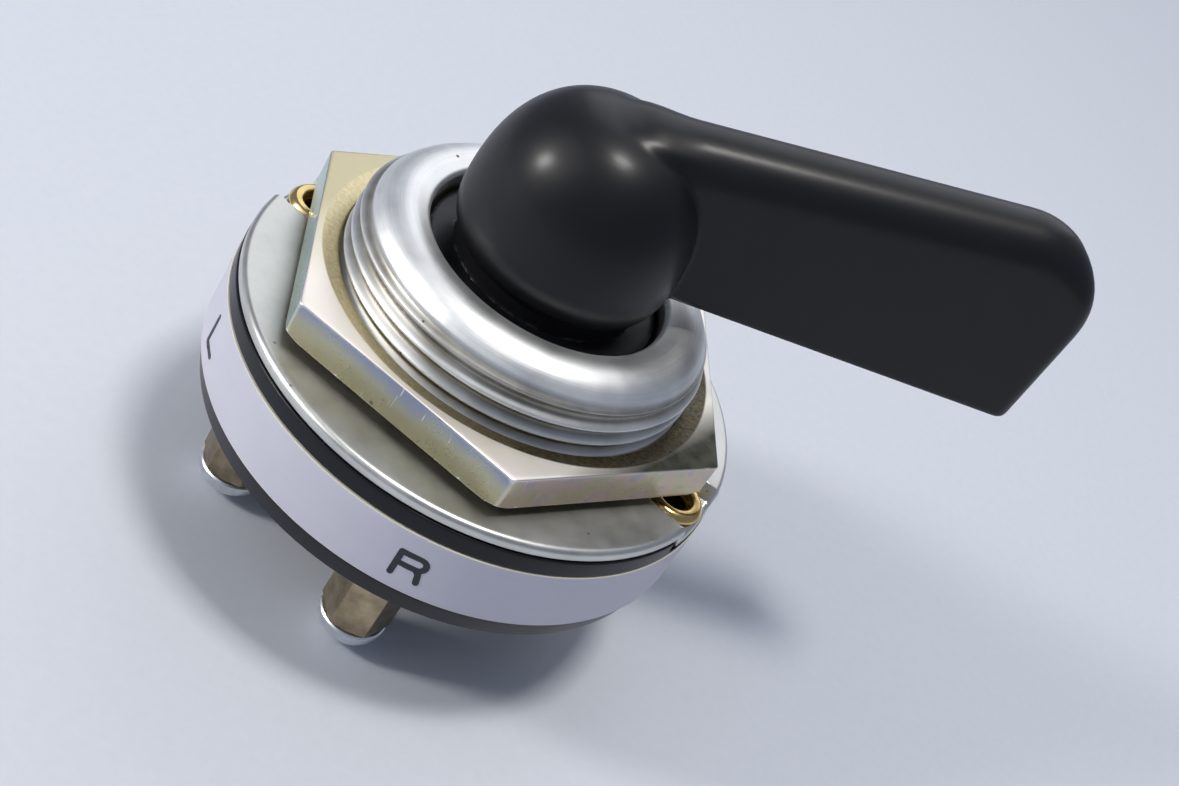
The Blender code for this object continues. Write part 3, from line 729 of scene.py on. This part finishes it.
def make_bush():
    shank_r, relief_r, relief_top = 15.9, 15.2, 11.0
    outline = rounded([
        (BUSH_MOUTH_R, BUSH_LOW, 0.1), (shank_r, BUSH_LOW, 0.1), (shank_r, 9.5, 0.05), (relief_r, 9.5, 0),
        (relief_r, relief_top, 0), (THREAD_R, 11.3, 0), (THREAD_R, 18.2, 0.5), (15.2, 19.05, 2.5),
        (14.0, 20.5, 2.5), (12.4, BUSH_TOP_Z, 2.5), (10.75, 20.68, 0.5), (BUSH_MOUTH_R, 20.3, 0.15),
        (BUSH_MOUTH_R, 15.0, 0),
    ], 6)

    def thread(r, z, a):
        turns = z / THREAD_PITCH - a / math.tau + THREAD_TURN
        groove = (0.5 - 0.5 * np.cos(math.tau * turns)) ** 0.8
        outside = r > 14.6
        # The last groove runs out into the rounded nose.
        share = smoothstep(11.2, 11.6, z) * (1 - smoothstep(THREAD_END - 1, THREAD_END, z))
        return r - THREAD_DEEP * groove * outside * share, z

    return turned("bush", filled(outline, 0.085), BUSH, steps=384, reshape=thread, smooth=60)


def make_nut():
    rim = NUT_FLATS / 2
    # The outline is drawn at the middle of a flat. Past the countersink it stretches out to the hexagon.
    outline = rounded([
        (NUT_BORE, NUT_LOW, 0.1), (rim, NUT_LOW, 0.14), (rim, NUT_HIGH, 0.11), (NUT_SINK, NUT_HIGH, 0.05),
        (15.85, NUT_HIGH - 0.42, 0.1), (NUT_BORE, NUT_HIGH - 0.6, 0.05),
    ], 18)

    def stretch(r, z, a):
        # Only the outer part moves, so the bore stays round.
        start = np.where(z > NUT_HIGH - 0.4, NUT_SINK, NUT_BORE + 0.3)
        share = np.clip((r - start) / (rim - start), 0, 1)
        grown = r + (hexagon(a, NUT_FLATS, NUT_CORNER + 30, 190) - rim) * share
        # A light chamfer round the lower corners.
        low = np.clip((grown - 20.1) / 0.6, 0, 1) * (1 - smoothstep(NUT_LOW, NUT_LOW + 0.5, z))
        return grown, z + 0.35 * low

    return turned("nut", filled(outline, 0.22), NUT, steps=720, reshape=stretch, smooth=40)


def make_eyelet(name, radius, azimuth):
    """A rolled brass eyelet, from under the moulding to its lip on the plate's pad."""
    inner, tube, top = 1.15, 1.62, PLATE_TOP - PAD_DROP
    outline = rounded([
        (inner, -0.35, 0.2), (1.5, -0.85, 0.3), (2.25, -0.88, 0.4), (2.5, -0.5, 0.2), (2.3, -0.12, 0.1),
        (tube, -0.12, 0.1), (tube, top + 0.12, 0.1), (2.55, top + 0.12, 0.15), (2.7, top + 0.45, 0.35),
        (2.3, top + 1.0, 0.5), (1.65, top + 0.98, 0.45), (inner, top + 0.35, 0.5),
    ], 12)
    return moved(turned(name + "_rolled", outline, BRASS, steps=SMALL), at_azimuth(radius, azimuth))


def make_terminal(name, radius, azimuth):
    """A hexagonal pillar under the moulding, its stem through the floor and its domed screw."""
    place = at_azimuth(radius, azimuth)
    corner = PILLAR_FLATS / math.sqrt(3)

    def to_hexagon(r, z, a):
        # The chamfer is a cone: it bites only where the hexagon reaches past it.
        cone = corner - 0.5 + (z - PILLAR_LOW) * 1.7
        limit = np.minimum(hexagon(a, PILLAR_FLATS, 0, 120), np.maximum(cone, 2.3))
        return np.where(r > 2.0, limit, r), z

    bore, wall, pillar_top = 1.52, 2.62, -0.02
    outline = rounded([
        (bore, PILLAR_LOW, 0), (wall, PILLAR_LOW, 0.05), (wall, pillar_top, 0.05), (bore, pillar_top, 0),
    ], 20)
    pillar = turned(f"pillar_{name}", filled(outline, 0.12), PILLAR, steps=180, reshape=to_hexagon, smooth=28)
    moved(pillar, place, azimuth)

    outline = rounded([
        (0.05, -0.1, 0), (1.6, -0.1, 0), (1.6, 4.1, 0), (2.4, 4.1, 0.1), (2.3, 4.6, 0.2), (0.05, 4.85, 0),
    ])
    stem = moved(turned(f"stem_{name}", outline, PILLAR, SMALL), place)

    top, rim, bevel = PILLAR_LOW - 0.05, 0.3, 0.12
    outline = [(0.06, -2.6), (1.2, -2.6), (1.2, top), (SCREW_HEAD_R - bevel, top), (SCREW_HEAD_R, top - bevel)]
    outline += [(SCREW_HEAD_R * math.cos(t), top - rim - (SCREW_HEAD_H - rim) * math.sin(t))
                for t in np.linspace(0, math.pi / 2 - 0.02, 16)]
    screw = turned(f"screw_{name}", outline, STEEL, steps=96, smooth=30)
    cut(screw, box((8, 0.8, 1.9), top - SCREW_HEAD_H))
    moved(screw, place, azimuth)
    return pillar, stem, screw


# ---------------------------------------------------------------- the lever

HUB_R, HUB_WIDE_Z, HUB_RISE, HUB_FULLNESS = 9.35, 23.83, 11.37, 2.4
NECK_R, NECK_TOP = 8.0, 20.9
JOURNAL_R, JOURNAL_LOW, JOURNAL_TOP = 10.15, 15.3, 19.3
PAST_AXIS = -30                 # the hub's outline is closed far on the other side of the axis
HUB = rounded([
    (PAST_AXIS, JOURNAL_LOW, 0), (JOURNAL_R, JOURNAL_LOW, 0.2), (JOURNAL_R, JOURNAL_TOP, 0.25),
    (NECK_R, JOURNAL_TOP, 0.3),
]) + [
    (NECK_R + (HUB_R - NECK_R) * math.sin(t), HUB_WIDE_Z - (HUB_WIDE_Z - NECK_TOP) * math.cos(t))
    for t in np.linspace(0, math.pi / 2, 16)
] + [
    (HUB_R * math.cos(t) ** (2 / HUB_FULLNESS), HUB_WIDE_Z + HUB_RISE * math.sin(t) ** (2 / HUB_FULLNESS))
    for t in np.linspace(0.02, math.pi / 2, 40)
] + [(PAST_AXIS, HUB_WIDE_Z + HUB_RISE)]

TIP_R = 7.8
TIP_X = 42.35
CREST_AT_TIP = 42.6
CREST_AT_HUB = 35.98            # at HUB_EDGE_X, where the top bends down into the hub
HUB_EDGE_X = 1.2
HALF_AT_HUB = 3.62              # half the blade's thickness, and what it loses over TAPER_X
HALF_TAPER = 0.36
TAPER_X = 42
END_EDGE = 1.8                  # radius of the edges round the blade's end
BLADE = rounded([
    (-6.0, 4.0, 0.0), (42.5, 4.0, 0.0), (TIP_X, CREST_AT_TIP, TIP_R), (HUB_EDGE_X, CREST_AT_HUB, 5.0),
    (-6.0, 31.2, 0.0),
], 5)
UNDERSIDE = rounded([(-20.0, 22.75, 0.0), (42.55, 23.7, 1.4), (60.0, 60.0, 0.0), (-20.0, 60.0, 0.0)], 10)
SOCKET_R, SOCKET_TOP = 3.3, 33.3
SCREW_HOLE_R, SCREW_HOLE_Z, SCREW_HOLE_Y = 1.8, 27.0, 1.5


def distance_to(outline, x, y):
    """Signed distance from points to a closed outline, negative inside."""
    best = np.full(x.shape, 1e9)
    inside = np.zeros(x.shape, bool)
    for (x0, y0), (x1, y1) in zip(outline, outline[1:] + outline[:1]):
        ex, ey = x1 - x0, y1 - y0
        t = np.clip(((x - x0) * ex + (y - y0) * ey) / (ex * ex + ey * ey + 1e-12), 0, 1)
        best = np.minimum(best, (x - x0 - t * ex) ** 2 + (y - y0 - t * ey) ** 2)
        if y0 != y1:
            crosses = ((y0 > y) != (y1 > y)) & (x < x0 + (y - y0) / (y1 - y0) * ex)
            inside ^= crosses
    return np.where(inside, -1, 1) * np.sqrt(best)


def blend_min(a, b, k):
    """The smaller of two distances, with a fillet about k wide where they are close."""
    h = np.clip(0.5 + 0.5 * (b - a) / k, 0, 1)
    return b + (a - b) * h - k * h * (1 - h)


def blend_max(a, b, k):
    return -blend_min(-a, -b, k)


def lever_field(p):
    """Signed distance in mm to the lever's surface, negative inside."""
    x, y, z = p[..., 0], p[..., 1], p[..., 2]
    hub = distance_to(HUB, np.hypot(x, y), z)
    side = distance_to(BLADE, x, z)
    half = HALF_AT_HUB - HALF_TAPER * np.clip(x, 0, TAPER_X) / TAPER_X
    # The top is fully rounded. Round the tip the edge tightens to the small radius of the end.
    crest = CREST_AT_HUB + (CREST_AT_TIP - CREST_AT_HUB) * (x - HUB_EDGE_X) / (TIP_X - HUB_EDGE_X)
    round_tip = np.arctan2(z - (crest - TIP_R), np.maximum(x - (TIP_X - TIP_R), 1e-6))
    edge = END_EDGE + (half - END_EDGE - 0.05) * smoothstep(0.15, 1.35, round_tip)
    ox, oy = side + edge, np.abs(y) - half + edge
    blade = np.minimum(np.maximum(ox, oy), 0) + np.hypot(np.maximum(ox, 0), np.maximum(oy, 0)) - edge
    blade = blend_max(blade, distance_to(UNDERSIDE, x, z), 0.5)
    # The blade starts inside the hub, so nothing shows behind the axis.
    blade = blend_max(blade, -1.4 - x, 3.0)
    # The crease is crisp at the sides and soft over the crown.
    lever = blend_min(hub, blade, 0.3 + 1.7 * smoothstep(33.8, 35.4, z))
    socket = np.maximum(np.hypot(x, y) - SOCKET_R, z - SOCKET_TOP)
    screw_hole = np.maximum(np.hypot(x, z - SCREW_HOLE_Z) - SCREW_HOLE_R, SCREW_HOLE_Y - y)
    return np.maximum(lever, -np.minimum(socket, screw_hole))


def surface_of(field, low, high, step):
    """The zero surface of a field as quads, one point in each cell it crosses, then drawn onto it."""
    axes = [np.arange(a, b + step, step) for a, b in zip(low, high)]
    grid = np.stack(np.meshgrid(*axes, indexing="ij"), -1)
    value = np.concatenate([field(part) for part in np.array_split(grid, 12)])
    solid = value < 0

    # Each cell's point is the average of the places where the surface crosses the cell's edges.
    total = np.zeros([n - 1 for n in solid.shape])
    middle = np.zeros(total.shape + (3,))
    spans = [slice(0, -1), slice(1, None)]
    corners = [(i, j, k) for i in (0, 1) for j in (0, 1) for k in (0, 1)]
    for a in corners:
        for b in corners:
            if sum(b) != sum(a) + 1 or any(q < p for p, q in zip(a, b)):
                continue
            ia, ib = tuple(spans[i] for i in a), tuple(spans[i] for i in b)
            crossing = solid[ia] != solid[ib]
            va, vb = value[ia], value[ib]
            t = np.where(crossing, va / np.where(crossing, va - vb, 1), 0)[..., None]
            middle += np.where(crossing[..., None], grid[ia] + (grid[ib] - grid[ia]) * t, 0)
            total += crossing
    used = total > 0
    index = np.full(total.shape, -1)
    index[used] = np.arange(used.sum())
    points = middle[used] / total[used][:, None]

    # Each edge of the grid that the surface crosses gives one quad, of the four cells round it.
    faces = []
    for axis in range(3):
        u, v = (axis + 1) % 3, (axis + 2) % 3
        first = [slice(1, -1)] * 3
        second = [slice(1, -1)] * 3
        first[axis], second[axis] = slice(0, -1), slice(1, None)
        inner_a, inner_b = solid[tuple(first)], solid[tuple(second)]
        quads = []
        for du, dv in ((0, 0), (1, 0), (1, 1), (0, 1)):
            pick = [None] * 3
            pick[axis] = slice(0, None)
            pick[u] = slice(du, index.shape[u] - 1 + du)
            pick[v] = slice(dv, index.shape[v] - 1 + dv)
            quads.append(index[tuple(pick)])
        quads = np.stack(quads, -1)
        out, back = inner_a & ~inner_b, ~inner_a & inner_b
        faces += quads[out].tolist()
        faces += quads[back][:, ::-1].tolist()

    # A few short steps down the field's slope put the points on the surface.
    shift = 1e-3
    for _ in range(4):
        here = field(points)
        slope = np.stack([field(points + d) - field(points - d) for d in np.eye(3) * shift], -1) / (2 * shift)
        length = np.maximum((slope ** 2).sum(-1), 0.2)
        points = points - slope * (np.clip(here, -0.2, 0.2) / length)[:, None] * 0.9
    return points, faces


def make_lever():
    points, faces = surface_of(lever_field, (-10.6, -10.6, 14.9), (43.0, 10.6, 42.6), 0.26)
    return new_object("lever_moulded", points, faces, LEVER, smooth=50)


# ---------------------------------------------------------------- putting it together

def stand_for(obj, node, body):
    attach(obj, body)
    if node:
        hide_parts(node)


stand_for(make_base_moulding(), "base_moulding", "body")
stand_for(make_band(), "label_band", "body")
for mark in make_letters():
    stand_for(mark, None, "body")
stand_for(make_cover_plate(), "cover_plate", "body")
stand_for(make_bush(), "threaded_bush", "body")
stand_for(make_nut(), "panel_nut", "body")
for eyelet, (r, az) in EYELETS.items():
    stand_for(make_eyelet(eyelet, r, az), eyelet, "body")
for terminal, (r, az) in TERMINALS.items():
    pillar, stem, screw = make_terminal(terminal, r, az)
    stand_for(pillar, f"terminal_pillar_{terminal}", "body")
    stand_for(stem, None, "body")
    stand_for(screw, f"terminal_screw_{terminal}", "body")
stand_for(make_lever(), "lever", "lever_body")

FINISHES = {
    "phenolic": PHENOLIC, "lever_plastic": LEVER, "printed_band": BAND, "bright_zinc": PLATE,
    "yellow_passivate": NUT, "brass": BRASS, "plated_steel": STEEL, "spring_steel": SPRING,
    "bronze": BRONZE, "fibre": FIBRE,
}
for part in frame["record"]["subparts"]:
    node = frame["nodes"][part["node"]]
    for material_slot in node.material_slots:
        material_slot.material = FINISHES[part["material_slot"]]


# ---------------------------------------------------------------- stage, light and camera, in metres

AIM = (0.004, 0.0, 0.022)       # the lamps point at the middle of the part
WARM = (1.0, 0.97, 0.92)
CAMERA_AT = (-0.04237, -0.10824, 0.09281)
CAMERA_RIGHT = (0.8814, -0.0600, 0.4686)
CAMERA_FORWARD = (0.3545, 0.7395, -0.5722)
CAMERA_LENS = 52.22             # mm, on a sensor 36 mm wide


def make_floor():
    low = min(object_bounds()[0][2], cad_box[0][2]) - 0.0001
    size = 4.0
    square = [(-size, -size, low), (size, -size, low), (size, size, low), (-size, size, low)]
    mesh = bpy.data.meshes.new("floor")
    mesh.from_pydata(square, [], [(0, 1, 2, 3)])
    n = Nodes("pale floor", (0.56, 0.59, 0.65), 0.85)
    n.colour(n.mix(n.noise(900, 4, 0.7), (0.53, 0.56, 0.62), (0.59, 0.62, 0.68)))
    n.bump(n.noise(1500, 4, 0.7, seed=1.0), 0.05, 0.25)
    mesh.materials.append(n.material)
    obj = link("floor", mesh)


def area_light(name, direction, distance, size, power, colour):
    data = bpy.data.lights.new(name, "AREA")
    data.shape = "RECTANGLE"
    data.size, data.size_y = size
    data.energy = power
    data.color = colour
    obj = link(name, data)
    way = Vector(direction).normalized()
    obj.location = Vector(AIM) + way * distance
    obj.rotation_euler = way.to_track_quat("Z", "Y").to_euler()


def make_world():
    world = bpy.data.worlds.new("studio")
    world.use_nodes = True
    background = world.node_tree.nodes["Background"]
    background.inputs["Color"].default_value = (0.70, 0.79, 1.0, 1)
    background.inputs["Strength"].default_value = 0.30
    bpy.context.scene.world = world


def make_camera():
    data = bpy.data.cameras.new("camera")
    data.sensor_fit = "HORIZONTAL"
    data.sensor_width = 36.0
    data.lens = CAMERA_LENS
    data.clip_start = 0.005
    camera = link("camera", data)
    right = Vector(CAMERA_RIGHT).normalized()
    forward = Vector(CAMERA_FORWARD).normalized()
    up = right.cross(forward).normalized()
    right = forward.cross(up)
    axes = Matrix((right, up, -forward)).transposed().to_4x4()
    camera.matrix_world = Matrix.Translation(CAMERA_AT) @ axes
    bpy.context.scene.camera = camera


make_floor()
area_light("lamp left", (-0.905, -0.03, 0.40), 0.60, (0.09, 0.12), 2.1, WARM)
area_light("lamp top", (0.08, -0.05, 0.995), 0.60, (0.11, 0.13), 2.1, WARM)
area_light("back panel", (0.33, 0.74, 0.57), 0.90, (0.85, 0.75), 2.2, (0.97, 0.98, 1.0))
area_light("left panel", (-0.75, -0.10, 0.65), 0.80, (0.60, 0.50), 0.95, (0.98, 0.99, 1.0))
make_world()
make_camera()
bpy.context.scene.view_settings.view_transform = "Standard"
